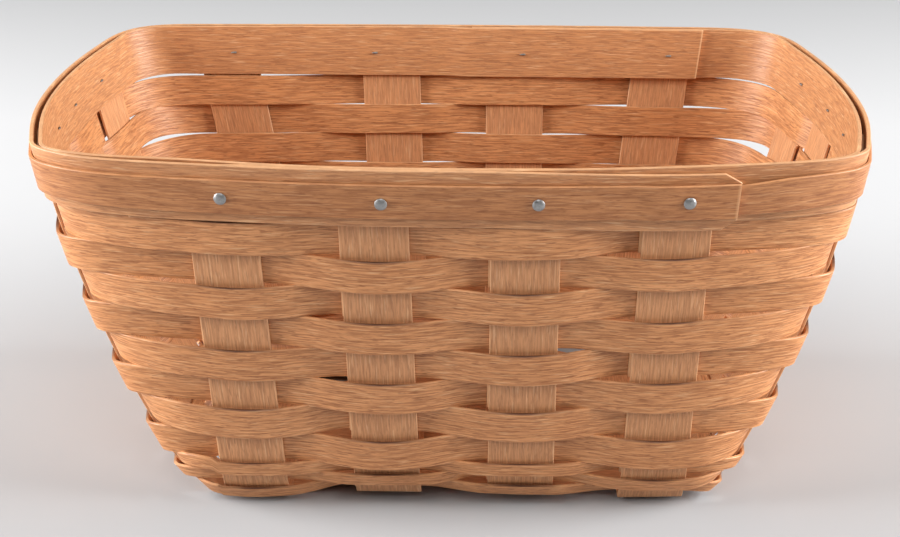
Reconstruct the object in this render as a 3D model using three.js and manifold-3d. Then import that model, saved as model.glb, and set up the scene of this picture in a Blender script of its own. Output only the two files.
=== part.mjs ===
// Flared basket of woven hardwood strips, in millimetres, +Z up, front towards -Y.
// Flat strips cross under the base and stand up as the wall's uprights. Ring weavers pass
// in front of and behind them, and two bands and a trim strip, tacked together, hold the rim.
import * as THREE from 'three';
import { mergeVertices } from 'three/addons/utils/BufferGeometryUtils.js';
import Module from 'manifold-3d';

const wasm = await Module();
wasm.setup();

// Overall size, taken on the middle of the uprights' thickness
const HEIGHT = 148.5; // table to the rim's top edge
const RIM_LENGTH = 316.9;
const RIM_DEPTH = 194;
const FOOT_LENGTH = 208; // where the wall lines meet the base
const FOOT_DEPTH = 153;
const FOOT_SHIFT = 2.6; // the base sits a little to the right of the rim's middle
const FOOT_BACK_SHIFT = 1.8; // and behind it

// How far the walls stray from flat
const FRONT_BOW_RADIUS = 660; // the rim's front curves in plan, its back hardly
const BACK_BOW_RADIUS = 4000;
const END_BOW_CENTRE = -14.4; // the ends reach furthest a little in front of the middle
const END_FRONT_RADIUS = 215; // their rim curves more from there to the front
const END_BACK_RADIUS = 312;
const SIDE_FOOT_RADIUS = 1700; // the foot curves less than the rim
const END_FOOT_RADIUS = 700;
const SIDE_BULGE = 2; // how far a wall's half height stands out from a straight slope
const END_BULGE = 7;
const FOOT_TUCK = 5.5; // how far the lowest part of the walls turns in under the basket
const TUCK_HEIGHT = 18.5; // above the base, where that starts
const CORNER_ROOM = 13.5; // from the outermost upright's edge to the corner, at the foot

// Strips that cross under the base and stand up as uprights
const SIDE_STRIPS = 4; // uprights on each long side
const END_STRIPS = 4; // uprights on each end
const STRIP_WIDTH = 25.4;
const STRIP_THICKNESS = 1.2;
const SIDE_FOOT_PITCH = 51.3;
const SIDE_RIM_PITCH = 55.6;
const END_FOOT_PITCH = 34;
const END_RIM_PITCH = 36.5;
const BACK_SPREADS = [11, 19]; // the back's right and left uprights lean this much further out at the rim
const STRIP_TOP_DROP = 4; // the uprights stop below the rim's top edge
const BEND_RADIUS = 3; // where a strip turns from the base into the wall

// Ring weavers
const WEAVER_THICKNESS = 1.2;
const WEAVER_WIDTH = 12.75;
const NARROW_WIDTH = 5.45;
const NARROW_ROWS = 3; // below the wide ones
const ROW_GAP = 0.2;

// Rim bands and trim strip
const BAND_THICKNESS = 1.5;
const OUTER_BAND_WIDTH = 22;
const INNER_BAND_WIDTH = 21.8;
const BAND_END_CHAMFER = 3.8;
const TRIM_THICKNESS = 1.3;
const TRIM_WIDTH = 13.2;
const TRIM_DROP = 5.2; // rim's top edge to the trim's top edge

// Tacks, driven from outside and bent over inside
const HEAD_RADIUS = 2.3;
const HEAD_HEIGHT = 1;
const HEAD_EDGE = 0.35;
const CROWN_RADIUS = 1.4; // where the head's dome flattens
const CROWN_HEIGHT = 0.85;
const SHANK_SIZE = 1.4;
const POINT_LENGTH = 3.4; // the bent-over point
const POINT_THICKNESS = 0.7;
const TACK_SHIFTS = [2, 4, 4, 4, -3, -4, -8, -7, -2, -4, 6, -6, 8, 7, 2, 3]; // off the strip's middle

// Clearances
const LAYER_GAP = 0.3; // between strips that lie on each other
const EDGE_MARGIN = 0.6; // a weaver stays flat this far past an upright's edge
const HOLE_GAP = 0.3; // around a tack's shank
const HOLE_OVERRUN = 1; // a hole is cut this far past the layers

// Where the ends of the lapped rings lie, counted in uprights round the rim from the front left
const OUTER_BAND_START = -0.11;
const OUTER_BAND_END = 3.535;
const TRIM_START = 3.12;
const TRIM_END = 3.53;
const INNER_BAND_START = 7.98;
const INNER_BAND_END = 9.6;
const CHAMFER_RUN = 0.028;

// Steps of the curves between uprights
const SIDE_GAP_STEPS = 4;
const END_GAP_STEPS = 3;
const CORNER_STEPS = 6;
const WALL_STEPS = 15;
const BEND_STEPS = 4;
const HEAD_SIDES = 14;

const WOOD = { strip: '#b8845e', weaver: '#b37e51', band: '#b07f5c', trim: '#b5835a' };
const STEEL = '#aba6a4';

// Levels of the strips in the base: long strips pass under or over the flat cross strips
const UNDER_LEVEL = STRIP_THICKNESS / 2;
const CROSS_LEVEL = UNDER_LEVEL + STRIP_THICKNESS + LAYER_GAP;
const OVER_LEVEL = CROSS_LEVEL + STRIP_THICKNESS + LAYER_GAP;

const HALF_ZONE = STRIP_WIDTH / 2 + EDGE_MARGIN;
const WEAVER_OFFSET = (STRIP_THICKNESS + WEAVER_THICKNESS) / 2 + LAYER_GAP;
const SMALL = 1e-3;
const CORNER_REACH = { foot: 1.657, rim: 2.3 }; // 1.657 follows a quarter circle, more is fuller
const CORNER_TURN = 0.5; // two uprights whose directions turn more than this have a corner between

const smooth = (t) => t * t * (3 - 2 * t);
const lerp = THREE.MathUtils.lerp;
const ramp = (g, from, to) => smooth(THREE.MathUtils.clamp((g - from) / (to - from), 0, 1));

// The four walls in ring order: front, right end, back, left end
const sideWall = {
  count: SIDE_STRIPS, footPitch: SIDE_FOOT_PITCH, rimPitch: SIDE_RIM_PITCH, footDistance: FOOT_DEPTH / 2,
  rimDistance: RIM_DEPTH / 2, footRadius: SIDE_FOOT_RADIUS, centre: 0, bulge: SIDE_BULGE,
  steps: SIDE_GAP_STEPS,
};
const front = { ...sideWall, radii: [FRONT_BOW_RADIUS, FRONT_BOW_RADIUS], spreads: [0, 0] };
const back = { ...sideWall, radii: [BACK_BOW_RADIUS, BACK_BOW_RADIUS], spreads: BACK_SPREADS };

const endWall = {
  count: END_STRIPS, footPitch: END_FOOT_PITCH, rimPitch: END_RIM_PITCH, footDistance: FOOT_LENGTH / 2,
  rimDistance: RIM_LENGTH / 2, footRadius: END_FOOT_RADIUS, bulge: END_BULGE, spreads: [0, 0],
  steps: END_GAP_STEPS,
};
const right = { ...endWall, centre: END_BOW_CENTRE, radii: [END_FRONT_RADIUS, END_BACK_RADIUS] };
const left = { ...endWall, centre: -END_BOW_CENTRE, radii: [END_BACK_RADIUS, END_FRONT_RADIUS] };
const walls = [front, right, back, left];

// An upright's places and directions, in plan, at the foot and at the rim
function makeUpright(wall, side, i) {
  const s = i - (wall.count - 1) / 2;
  const spread = { 0: -wall.spreads[0], [wall.count - 1]: wall.spreads[1] }[i] ?? 0;
  const footShift = s * wall.footPitch;
  const rimShift = s * wall.rimPitch + spread;
  const rimTurn = (rimShift - wall.centre) / wall.radii[rimShift < wall.centre ? 0 : 1];
  const footTurn = (footShift - wall.centre) / wall.footRadius;
  const toPlan = (shift, distance) => new THREE.Vector2(shift, -distance)
    .rotateAround(new THREE.Vector2(), side * Math.PI / 2);
  const direction = (angle) => toPlan(Math.cos(angle), -Math.sin(angle));
  const bowed = (distance, shift, turn) => toPlan(shift, distance - (shift - wall.centre) * turn / 2);
  return {
    foot: bowed(wall.footDistance, footShift, footTurn).add(new THREE.Vector2(FOOT_SHIFT, FOOT_BACK_SHIFT)),
    rim: bowed(wall.rimDistance, rimShift, rimTurn),
    footAlong: direction(footTurn),
    rimAlong: direction(rimTurn),
    outward: toPlan(0, 1),
    bulge: wall.bulge,
    steps: i === wall.count - 1 ? CORNER_STEPS : wall.steps,
  };
}

const uprights = walls.flatMap((wall, side) => Array.from({ length: wall.count },
  (_, i) => makeUpright(wall, side, i)));
const COUNT = uprights.length;
const upright = (k) => uprights[((k % COUNT) + COUNT) % COUNT];
const onSide = (k) => k % (COUNT / 2) < SIDE_STRIPS;
const isCorner = (k) => onSide(k) !== onSide(k + 1); // between an upright and the next

// How far the curve between two uprights reaches along their directions
function reaches(p0, t0, p1, t1, reach) {
  const chord = p1.clone().sub(p0);
  const turn = t0.cross(t1);
  if (Math.abs(turn) < CORNER_TURN) return [chord.length(), chord.length()];
  return [reach * chord.cross(t1) / turn, reach * t0.cross(chord) / turn];
}

for (let k = 0; k < COUNT; k += 1) {
  const a = upright(k);
  const b = upright(k + 1);
  for (const level of ['foot', 'rim']) {
    const from = a[level].clone().addScaledVector(a[`${level}Along`], HALF_ZONE);
    const to = b[level].clone().addScaledVector(b[`${level}Along`], -HALF_ZONE);
    const [leave, arrive] = reaches(from, a[`${level}Along`], to, b[`${level}Along`], CORNER_REACH[level]);
    a[`${level}Leave`] = a[`${level}Along`].clone().multiplyScalar(leave);
    a[`${level}Arrive`] = b[`${level}Along`].clone().multiplyScalar(arrive);
  }
}

// A value of an upright at a height, between its foot and its rim
const shareAt = (z) => (z - CROSS_LEVEL) / (HEIGHT - CROSS_LEVEL);

function between(k, name, z) {
  const foot = upright(k)[`foot${name}`];
  const rim = upright(k)[`rim${name}`];
  return new THREE.Vector3(lerp(foot.x, rim.x, shareAt(z)), lerp(foot.y, rim.y, shareAt(z)), 0);
}

const tuckAt = (z) => FOOT_TUCK * Math.max(0, 1 - (z - CROSS_LEVEL) / TUCK_HEIGHT) ** 2;

function uprightAt(k, z) {
  const { outward, bulge } = upright(k);
  const swell = 4 * bulge * shareAt(z) * (1 - shareAt(z)) - tuckAt(z);
  return between(k, '', z).add(new THREE.Vector3(swell * outward.x, swell * outward.y, z));
}

const uprightUp = (k, z) => uprightAt(k, z + 1).sub(uprightAt(k, z - 1)).normalize();

function hermite(p0, m0, p1, m1, t) {
  const s = smooth(t);
  return p0.clone().multiplyScalar(1 - s).addScaledVector(p1, s)
    .addScaledVector(m0, t * (1 - t) * (1 - t)).addScaledVector(m1, t * t * (t - 1));
}

// The wall's middle surface: g counts uprights, its first half over the strip, then the gap
function wallPoint(g, z) {
  const k = Math.floor(g);
  const part = 2 * (g - k);
  const here = uprightAt(k, z);
  const along = between(k, 'Along', z);
  if (part <= 1) return here.addScaledVector(along, (2 * part - 1) * HALF_ZONE);
  const next = uprightAt(k + 1, z).addScaledVector(between(k + 1, 'Along', z), -HALF_ZONE);
  here.addScaledVector(along, HALF_ZONE);
  const pull = isCorner(k) ? 1 - tuckAt(z) / CORNER_ROOM : 1;
  const leave = between(k, 'Leave', z).multiplyScalar(pull);
  const arrive = between(k, 'Arrive', z).multiplyScalar(pull);
  return hermite(here, leave, next, arrive, part - 1);
}

const wallUp = (g, z) => wallPoint(g, z + 1).sub(wallPoint(g, z - 1)).normalize();

// The places round a ring where a strip has a section
function stations(from, to, extra = []) {
  const list = [from, to, ...extra];
  for (let k = Math.floor(from); k <= Math.ceil(to); k += 1) {
    list.push(k, k + 0.5);
    const { steps } = upright(k);
    for (let i = 1; i < steps; i += 1) list.push(k + 0.5 + 0.5 * i / steps);
  }
  const kept = list.filter((g) => g >= from && g <= to).sort((a, b) => a - b);
  return kept.filter((g, i) => i === 0 || g - kept[i - 1] > SMALL);
}

// A closed solid from four-cornered sections, with flat ends. Its two broad faces are split
// along the same diagonal, so that strips that lie on each other stay parallel where they twist.
function sweep(sections) {
  const positions = sections.flatMap((s) => s.flatMap((p) => [p.x, p.y, p.z]));
  const index = [];
  for (let i = 0; i + 1 < sections.length; i += 1) {
    for (let j = 0; j < 4; j += 1) {
      const a = 4 * i + j;
      const b = 4 * i + (j + 1) % 4;
      if (j === 1) index.push(a, a + 4, b + 4, a, b + 4, b);
      else index.push(a, a + 4, b, b, a + 4, b + 4);
    }
  }
  const e = 4 * (sections.length - 1);
  index.push(0, 1, 2, 0, 2, 3, e, e + 2, e + 1, e, e + 3, e + 2);
  const geometry = new THREE.BufferGeometry();
  geometry.setAttribute('position', new THREE.Float32BufferAttribute(positions, 3));
  geometry.setIndex(index);
  return geometry;
}

function section(middle, up, face, width, thickness) {
  const corner = (a, b) => middle.clone()
    .addScaledVector(up, a * width / 2).addScaledVector(face, b * thickness / 2);
  return [corner(1, 1), corner(1, -1), corner(-1, -1), corner(-1, 1)];
}

// A strip bent round the basket: surface(g) gives a point and the strip's upward direction
function ringStrip({ surface, offset, width, thickness, from, to, extra }) {
  const outward = (g) => {
    const along = surface(g + SMALL).at.sub(surface(g - SMALL).at);
    return along.cross(surface(g).up).normalize();
  };
  const middle = (g) => surface(g).at.addScaledVector(outward(g), offset(g));
  const sections = stations(from, to, extra).map((g) => {
    const { up } = surface(g);
    const face = middle(g + SMALL).sub(middle(g - SMALL)).cross(up).normalize();
    return section(middle(g), up, face, width(g), thickness);
  });
  return sweep(sections);
}

const root = new THREE.Group();

function addMesh(name, geometry, color, metalness = 0, roughness = 0.6) {
  geometry.computeVertexNormals();
  const material = new THREE.MeshStandardMaterial({ color, metalness, roughness });
  const mesh = new THREE.Mesh(geometry, material);
  mesh.name = name;
  root.add(mesh);
}

// Cutting and joining
function solidOf(geometry) {
  const bare = geometry.clone();
  bare.deleteAttribute('normal');
  bare.deleteAttribute('uv');
  const merged = mergeVertices(bare, SMALL);
  const triVerts = [];
  const { array } = merged.index;
  for (let i = 0; i < array.length; i += 3) {
    const [a, b, c] = array.slice(i, i + 3);
    if (a !== b && b !== c && c !== a) triVerts.push(a, b, c);
  }
  return new wasm.Manifold(new wasm.Mesh({
    numProp: 3,
    vertProperties: new Float32Array(merged.attributes.position.array),
    triVerts: new Uint32Array(triVerts),
  }));
}

function geometryOf(solid) {
  const mesh = solid.getMesh();
  const geometry = new THREE.BufferGeometry();
  geometry.setAttribute('position', new THREE.BufferAttribute(mesh.vertProperties, 3));
  geometry.setIndex(new THREE.BufferAttribute(mesh.triVerts, 1));
  return geometry;
}

const cut = (geometry, tools) => geometryOf(
  tools.reduce((solid, tool) => solid.subtract(tool), solidOf(geometry)),
);

// Layers at the rim: where each lies, measured outwards from the middle of the uprights
const LAYER_STEP = BAND_THICKNESS + LAYER_GAP;
const BAND_OFFSET = (STRIP_THICKNESS + BAND_THICKNESS) / 2 + LAYER_GAP;
const TRIM_STEP = TRIM_THICKNESS + LAYER_GAP;
const TRIM_OFFSET = BAND_OFFSET + (BAND_THICKNESS + TRIM_THICKNESS) / 2 + LAYER_GAP;
const LIFT_RUN = 0.22; // a lapping end climbs over this share of an upright's space
const LAP_MARGIN = 0.02;

const climb = (g, at) => ramp(g, at - LAP_MARGIN - LIFT_RUN, at - LAP_MARGIN);
const descend = (g, at) => 1 - ramp(g, at + LAP_MARGIN, at + LAP_MARGIN + LIFT_RUN);

const outerBandOffset = (g) => BAND_OFFSET + LAYER_STEP * climb(g, OUTER_BAND_START + COUNT);
const innerBandOffset = (g) => -BAND_OFFSET - LAYER_STEP * descend(g, INNER_BAND_END);
const bandStack = (g) => (g < COUNT / 2 ? descend(g, OUTER_BAND_END)
  : climb(g, OUTER_BAND_START + COUNT));
const trimOffset = (g) => TRIM_OFFSET + LAYER_STEP * bandStack(g)
  + TRIM_STEP * climb(g, TRIM_START + COUNT);

// Every rim strip has sections at all the lap ends, so that the layers stay parallel
const lapEnds = [OUTER_BAND_START, OUTER_BAND_END - CHAMFER_RUN, OUTER_BAND_END, TRIM_START, TRIM_END,
  INNER_BAND_START, INNER_BAND_END];
const rimStations = [-COUNT, 0, COUNT].flatMap((turn) => lapEnds.map((g) => g + turn));

// The rim's strips lie along the chord of the wall behind them
const rimUp = (pointAt) => pointAt(HEIGHT).sub(pointAt(HEIGHT - OUTER_BAND_WIDTH)).normalize();

// A rim strip hangs down from a level line, whatever its layer
const rimSurface = (offset, drop, width) => (g) => {
  const up = rimUp((z) => wallPoint(g, z));
  const along = wallPoint(g + SMALL, HEIGHT).sub(wallPoint(g - SMALL, HEIGHT));
  const slide = offset(g) * along.cross(up).normalize().z / up.z;
  return { at: wallPoint(g, HEIGHT).addScaledVector(up, -drop - width / 2 - slide), up };
};

// Tacks: one at each upright, through every layer of the rim
const TACK_DROP = TRIM_DROP + TRIM_WIDTH / 2;

function tackFrame(k) {
  const up = rimUp((z) => uprightAt(k, z));
  const along = between(k, 'Along', HEIGHT - TACK_DROP).normalize();
  const out = along.clone().cross(up).normalize();
  up.crossVectors(out, along);
  const at = uprightAt(k, HEIGHT).addScaledVector(up, -TACK_DROP).addScaledVector(along, TACK_SHIFTS[k]);
  const matrix = new THREE.Matrix4().makeBasis(along, up, out).setPosition(at);
  const mid = k + 0.25;
  const lapped = mid > TRIM_START && mid < TRIM_END;
  const outside = trimOffset(mid) + (lapped ? TRIM_STEP : 0) + TRIM_THICKNESS / 2;
  const inside = innerBandOffset(mid < INNER_BAND_START ? mid + COUNT : mid) - BAND_THICKNESS / 2;
  return { matrix, outside, inside };
}

const tackFrames = uprights.map((_, k) => tackFrame(k));

function boxBetween(sizeX, sizeY, z0, z1) {
  return new THREE.BoxGeometry(sizeX, sizeY, z1 - z0).translate(0, 0, (z0 + z1) / 2);
}

const holes = tackFrames.map(({ matrix, outside, inside }) => {
  const side = SHANK_SIZE + 2 * HOLE_GAP;
  return solidOf(boxBetween(side, side, inside - HOLE_OVERRUN,
    outside + HOLE_OVERRUN).applyMatrix4(matrix));
});

function tackGeometry({ outside, inside }) {
  const under = outside + LAYER_GAP;
  const profile = [[0, 0], [HEAD_RADIUS, 0], [HEAD_RADIUS, HEAD_EDGE],
    [CROWN_RADIUS, CROWN_HEIGHT], [0, HEAD_HEIGHT]];
  const head = new THREE.LatheGeometry(profile.map(([r, h]) => new THREE.Vector2(r, h)), HEAD_SIDES)
    .rotateX(Math.PI / 2).translate(0, 0, under);
  const clinch = inside - LAYER_GAP;
  const shank = boxBetween(SHANK_SIZE, SHANK_SIZE, clinch - POINT_THICKNESS, under + HEAD_EDGE / 2);
  const point = boxBetween(POINT_LENGTH, SHANK_SIZE / 2, clinch - POINT_THICKNESS, clinch)
    .translate((POINT_LENGTH - SHANK_SIZE / 2) / 2, 0, 0);
  return geometryOf(solidOf(head).add(solidOf(shank)).add(solidOf(point)));
}

// Strips in the base and up the walls
const outOf = (along, up) => along.clone().cross(up).normalize();

function bendOf(k, level) {
  const corner = uprightAt(k, level);
  const up = uprightUp(k, level);
  const inward = outOf(between(k, 'Along', CROSS_LEVEL), up).setZ(0).normalize().negate();
  const half = Math.acos(up.dot(inward)) / 2;
  return { corner, up, inward, reach: BEND_RADIUS / Math.tan(half) };
}

// Sections from an upright's top down its wall and round the bend
function wallSections(k, level) {
  const { corner, up, inward, reach } = bendOf(k, level);
  const list = [];
  const top = HEIGHT - STRIP_TOP_DROP;
  const low = corner.z + reach * up.z;
  for (let i = 0; i <= WALL_STEPS; i += 1) {
    const z = lerp(low, top, (1 - i / WALL_STEPS) ** 2); // closer steps towards the foot
    const along = between(k, 'Along', z).normalize();
    const face = outOf(along, uprightUp(k, z));
    list.push(section(uprightAt(k, z), along, face, STRIP_WIDTH, STRIP_THICKNESS));
  }
  const along = between(k, 'Along', CROSS_LEVEL).normalize();
  for (let i = 1; i <= BEND_STEPS; i += 1) {
    const t = i / BEND_STEPS;
    const at = corner.clone().addScaledVector(up, reach * (1 - t) * (1 - t))
      .addScaledVector(inward, reach * t * t);
    const rise = up.clone().multiplyScalar(1 - t).addScaledVector(inward, -t);
    list.push(section(at, along, outOf(along, rise), STRIP_WIDTH, STRIP_THICKNESS));
  }
  return list;
}

// The far wall's sections, turned so that they go on from the base
const farWall = (k, level) => wallSections(k, level).reverse()
  .map(([a, b, c, d]) => [d, c, b, a]);

// The back upright of a front upright's strip, and the left one of a right end's
const behind = (i) => 2 * SIDE_STRIPS + END_STRIPS - 1 - i;
const leftOf = (i) => COUNT - 1 - i;

const passesOver = (long, cross) => (long + cross) % 2 === 1;
const levelOf = (long, cross) => (passesOver(long, cross) ? OVER_LEVEL : UNDER_LEVEL);

function crossStrip(i) {
  return sweep([...wallSections(i, CROSS_LEVEL), ...farWall(behind(i), CROSS_LEVEL)]);
}

function longStrip(i) {
  const right = SIDE_STRIPS + i;
  const { y } = upright(right).foot;
  const along = between(right, 'Along', CROSS_LEVEL).normalize();
  const list = wallSections(right, levelOf(i, SIDE_STRIPS - 1));
  const flat = (x, z) => list.push(section(new THREE.Vector3(x, y, z), along,
    new THREE.Vector3(0, 0, -1), STRIP_WIDTH, STRIP_THICKNESS));
  for (let c = SIDE_STRIPS - 1; c >= 0; c -= 1) {
    const { x } = upright(c).foot;
    const level = levelOf(i, c);
    flat(x + HALF_ZONE, level);
    flat(x - HALF_ZONE, level);
    if (c === 0) break;
    const nextLevel = levelOf(i, c - 1);
    for (let s = 1; s < SIDE_GAP_STEPS; s += 1) {
      const t = s / SIDE_GAP_STEPS;
      flat(lerp(x, upright(c - 1).foot.x, t) + lerp(-HALF_ZONE, HALF_ZONE, t),
        lerp(level, nextLevel, smooth(t)));
    }
  }
  return sweep([...list, ...farWall(leftOf(i), levelOf(i, 0))]);
}

for (let i = 0; i < SIDE_STRIPS; i += 1) {
  addMesh(`cross_strip_${i + 1}`, cut(crossStrip(i), [holes[i], holes[behind(i)]]), WOOD.strip);
}
for (let i = 0; i < END_STRIPS; i += 1) {
  const tools = [holes[SIDE_STRIPS + i], holes[leftOf(i)]];
  addMesh(`long_strip_${i + 1}`, cut(longStrip(i), tools), WOOD.strip);
}

// Weave: rows are counted from the foot, and each lies outside every second upright
const isOutside = (row, k) => (((row + k) % 2) + 2) % 2 === 0;

function weaveOffset(row, g) {
  const k = Math.floor(g);
  const part = 2 * (g - k);
  const here = isOutside(row, k) ? WEAVER_OFFSET : -WEAVER_OFFSET;
  return part <= 1 ? here : lerp(here, -here, smooth(part - 1));
}

// A weaver's two ends lap behind one of the front uprights
function weaver(row, surface, width) {
  const at = (row + 1) % SIDE_STRIPS;
  const lift = WEAVER_THICKNESS + LAYER_GAP;
  const offset = (g) => weaveOffset(row, g) - lift * ramp(g, COUNT + at - 0.5, COUNT + at);
  return ringStrip({
    surface, offset, width: () => width, thickness: WEAVER_THICKNESS, from: at, to: COUNT + at + 0.5,
  });
}

const wallRow = (z) => (g) => ({ at: wallPoint(g, z), up: wallUp(g, z) });

// The lowest row lies just above the bends
const bendTop = Math.max(...uprights.map((_, k) => {
  const { corner, up, reach } = bendOf(k, onSide(k) ? CROSS_LEVEL : OVER_LEVEL);
  return corner.z + reach * up.z;
}));
for (let i = 0; i < NARROW_ROWS; i += 1) {
  const z = bendTop + (NARROW_WIDTH + ROW_GAP) * (i + 0.5);
  addMesh(`narrow_weaver_${i + 1}`, weaver(i, wallRow(z), NARROW_WIDTH), WOOD.weaver);
}

// Wide rows fill the wall from the narrow rows to the outer band
const wideFrom = bendTop + (NARROW_WIDTH + ROW_GAP) * NARROW_ROWS;
const wideSpace = HEIGHT - OUTER_BAND_WIDTH - ROW_GAP - wideFrom;
const wideRows = Math.floor(wideSpace / (WEAVER_WIDTH + ROW_GAP));
for (let i = 0; i < wideRows; i += 1) {
  const z = wideFrom + wideSpace * (i + 0.5) / wideRows;
  addMesh(`weaver_${i + 1}`, weaver(NARROW_ROWS + i, wallRow(z), WEAVER_WIDTH), WOOD.weaver);
}

// Rim
const chamferAt = OUTER_BAND_END + COUNT - CHAMFER_RUN / 2;
addMesh('outer_band', cut(ringStrip({
  surface: rimSurface(outerBandOffset, 0, OUTER_BAND_WIDTH),
  offset: outerBandOffset,
  width: (g) => OUTER_BAND_WIDTH - (g > chamferAt ? 2 * BAND_END_CHAMFER : 0),
  thickness: BAND_THICKNESS,
  from: OUTER_BAND_START,
  to: OUTER_BAND_END + COUNT,
  extra: rimStations,
}), holes), WOOD.band);
addMesh('inner_band', cut(ringStrip({
  surface: rimSurface(innerBandOffset, 0, INNER_BAND_WIDTH),
  offset: innerBandOffset,
  width: () => INNER_BAND_WIDTH,
  thickness: BAND_THICKNESS,
  from: INNER_BAND_START,
  to: INNER_BAND_END + COUNT,
  extra: rimStations,
}), holes), WOOD.band);
addMesh('trim_strip', cut(ringStrip({
  surface: rimSurface(trimOffset, TRIM_DROP, TRIM_WIDTH),
  offset: trimOffset,
  width: () => TRIM_WIDTH,
  thickness: TRIM_THICKNESS,
  from: TRIM_START,
  to: TRIM_END + COUNT,
  extra: rimStations,
}), holes), WOOD.trim);
tackFrames.forEach((frame, k) => {
  const name = `tack_${String(k + 1).padStart(2, '0')}`;
  addMesh(name, tackGeometry(frame).applyMatrix4(frame.matrix), STEEL, 0.8, 0.4);
});

// The origin is the middle of the underside
const middle = new THREE.Box3().setFromObject(root).getCenter(new THREE.Vector3()).setZ(0);
root.children.forEach((mesh) => mesh.geometry.translate(-middle.x, -middle.y, 0));

export default root;
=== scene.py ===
import math

import bmesh
import bpy
from mathutils import Matrix, Vector


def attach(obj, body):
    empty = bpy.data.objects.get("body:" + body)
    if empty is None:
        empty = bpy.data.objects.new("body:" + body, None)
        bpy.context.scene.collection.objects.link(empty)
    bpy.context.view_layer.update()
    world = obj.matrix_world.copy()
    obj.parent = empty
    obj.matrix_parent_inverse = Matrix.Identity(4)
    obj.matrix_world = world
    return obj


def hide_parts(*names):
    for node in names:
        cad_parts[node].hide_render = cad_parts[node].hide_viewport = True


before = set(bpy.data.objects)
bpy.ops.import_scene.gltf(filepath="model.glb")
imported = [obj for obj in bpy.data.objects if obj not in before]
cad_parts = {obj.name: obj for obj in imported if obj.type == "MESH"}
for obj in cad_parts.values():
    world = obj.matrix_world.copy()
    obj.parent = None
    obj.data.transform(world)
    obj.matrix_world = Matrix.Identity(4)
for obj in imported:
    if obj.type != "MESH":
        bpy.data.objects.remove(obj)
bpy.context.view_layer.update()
scene = bpy.context.scene


# Base strips and uprights: eight flat strips of split hardwood, crossed under the base and
# steamed up at its edge. Each is one piece from rim to rim, so its two ends are the uprights
# of opposite walls.
HEIGHT = 0.1485
RIM_LENGTH = 0.3169
RIM_DEPTH = 0.194
FOOT_LENGTH = 0.208
FOOT_DEPTH = 0.153
FOOT_SHIFT = Vector((0.0026, 0.0018, 0))
MIDDLE_SHIFT = Vector((-0.0000765, 0.0006803, 0))

STRIP_WIDTH = 0.0254
STRIP_THICKNESS = 0.0012
STRIP_TOP_DROP = 0.004
STRIP_CHAMFER = 0.00022
STRIP_CREASE = math.radians(30)
BEND_RADIUS = 0.003
LAYER_GAP = 0.0003
EDGE_MARGIN = 0.0006
HALF_ZONE = STRIP_WIDTH / 2 + EDGE_MARGIN
UNDER_LEVEL = STRIP_THICKNESS / 2
CROSS_LEVEL = UNDER_LEVEL + STRIP_THICKNESS + LAYER_GAP
OVER_LEVEL = CROSS_LEVEL + STRIP_THICKNESS + LAYER_GAP

side_wall = dict(count=4, foot_pitch=0.0513, rim_pitch=0.0556, foot=FOOT_DEPTH / 2, rim=RIM_DEPTH / 2,
                 foot_radius=1.7, centre=0, bulge=0.002, steps=9)
end_wall = dict(count=4, foot_pitch=0.034, rim_pitch=0.0365, foot=FOOT_LENGTH / 2, rim=RIM_LENGTH / 2,
                foot_radius=0.7, bulge=0.007, spreads=(0, 0), steps=7)
walls = [{**side_wall, "radii": (0.66, 0.66), "spreads": (0, 0)},
         {**end_wall, "centre": -0.0144, "radii": (0.215, 0.312)},
         {**side_wall, "radii": (4, 4), "spreads": (0.011, 0.019)},
         {**end_wall, "centre": 0.0144, "radii": (0.312, 0.215)}]
CORNER_STEPS = 16
CORNER_REACH = {"foot": 1.657, "rim": 2.3}
CORNER_TURN = 0.5
FOOT_TUCK = 0.0055
TUCK_HEIGHT = 0.0185
CORNER_ROOM = 0.0135
SLOPE_STEP = 0.001
WALL_STEPS = 32
BEND_STEPS = 8


def smooth(t):
    return t * t * (3 - 2 * t)


def ramp(g, start, stop):
    return smooth(min(1, max(0, (g - start) / (stop - start))))


def make_upright(wall, side, i):
    s = i - (wall["count"] - 1) / 2
    spread = {0: -wall["spreads"][0], wall["count"] - 1: wall["spreads"][1]}.get(i, 0)
    foot_shift = s * wall["foot_pitch"]
    rim_shift = s * wall["rim_pitch"] + spread
    rim_turn = (rim_shift - wall["centre"]) / wall["radii"][0 if rim_shift < wall["centre"] else 1]
    foot_turn = (foot_shift - wall["centre"]) / wall["foot_radius"]
    quarter = Matrix.Rotation(side * math.pi / 2, 3, "Z")

    def to_plan(shift, distance):
        return quarter @ Vector((shift, -distance, 0))

    def bowed(distance, shift, turn):
        return to_plan(shift, distance - (shift - wall["centre"]) * turn / 2) + MIDDLE_SHIFT

    return {
        "foot": bowed(wall["foot"], foot_shift, foot_turn) + FOOT_SHIFT,
        "rim": bowed(wall["rim"], rim_shift, rim_turn),
        "foot_along": to_plan(math.cos(foot_turn), -math.sin(foot_turn)),
        "rim_along": to_plan(math.cos(rim_turn), -math.sin(rim_turn)),
        "outward": to_plan(0, 1),
        "bulge": wall["bulge"],
        "steps": CORNER_STEPS if i == wall["count"] - 1 else wall["steps"],
        "rim_shift": rim_shift,
    }


uprights = [make_upright(wall, side, i) for side, wall in enumerate(walls) for i in range(wall["count"])]
COUNT = len(uprights)

for k, a in enumerate(uprights):
    b = uprights[(k + 1) % COUNT]
    for level in ("foot", "rim"):
        t0, t1 = a[level + "_along"], b[level + "_along"]
        chord = (b[level] - t1 * HALF_ZONE) - (a[level] + t0 * HALF_ZONE)
        turn = t0.x * t1.y - t0.y * t1.x
        leave = arrive = chord.length
        if abs(turn) >= CORNER_TURN:
            leave = CORNER_REACH[level] * (chord.x * t1.y - chord.y * t1.x) / turn
            arrive = CORNER_REACH[level] * (t0.x * chord.y - t0.y * chord.x) / turn
        a[level + "_leave"] = t0 * leave
        a[level + "_arrive"] = t1 * arrive


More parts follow.
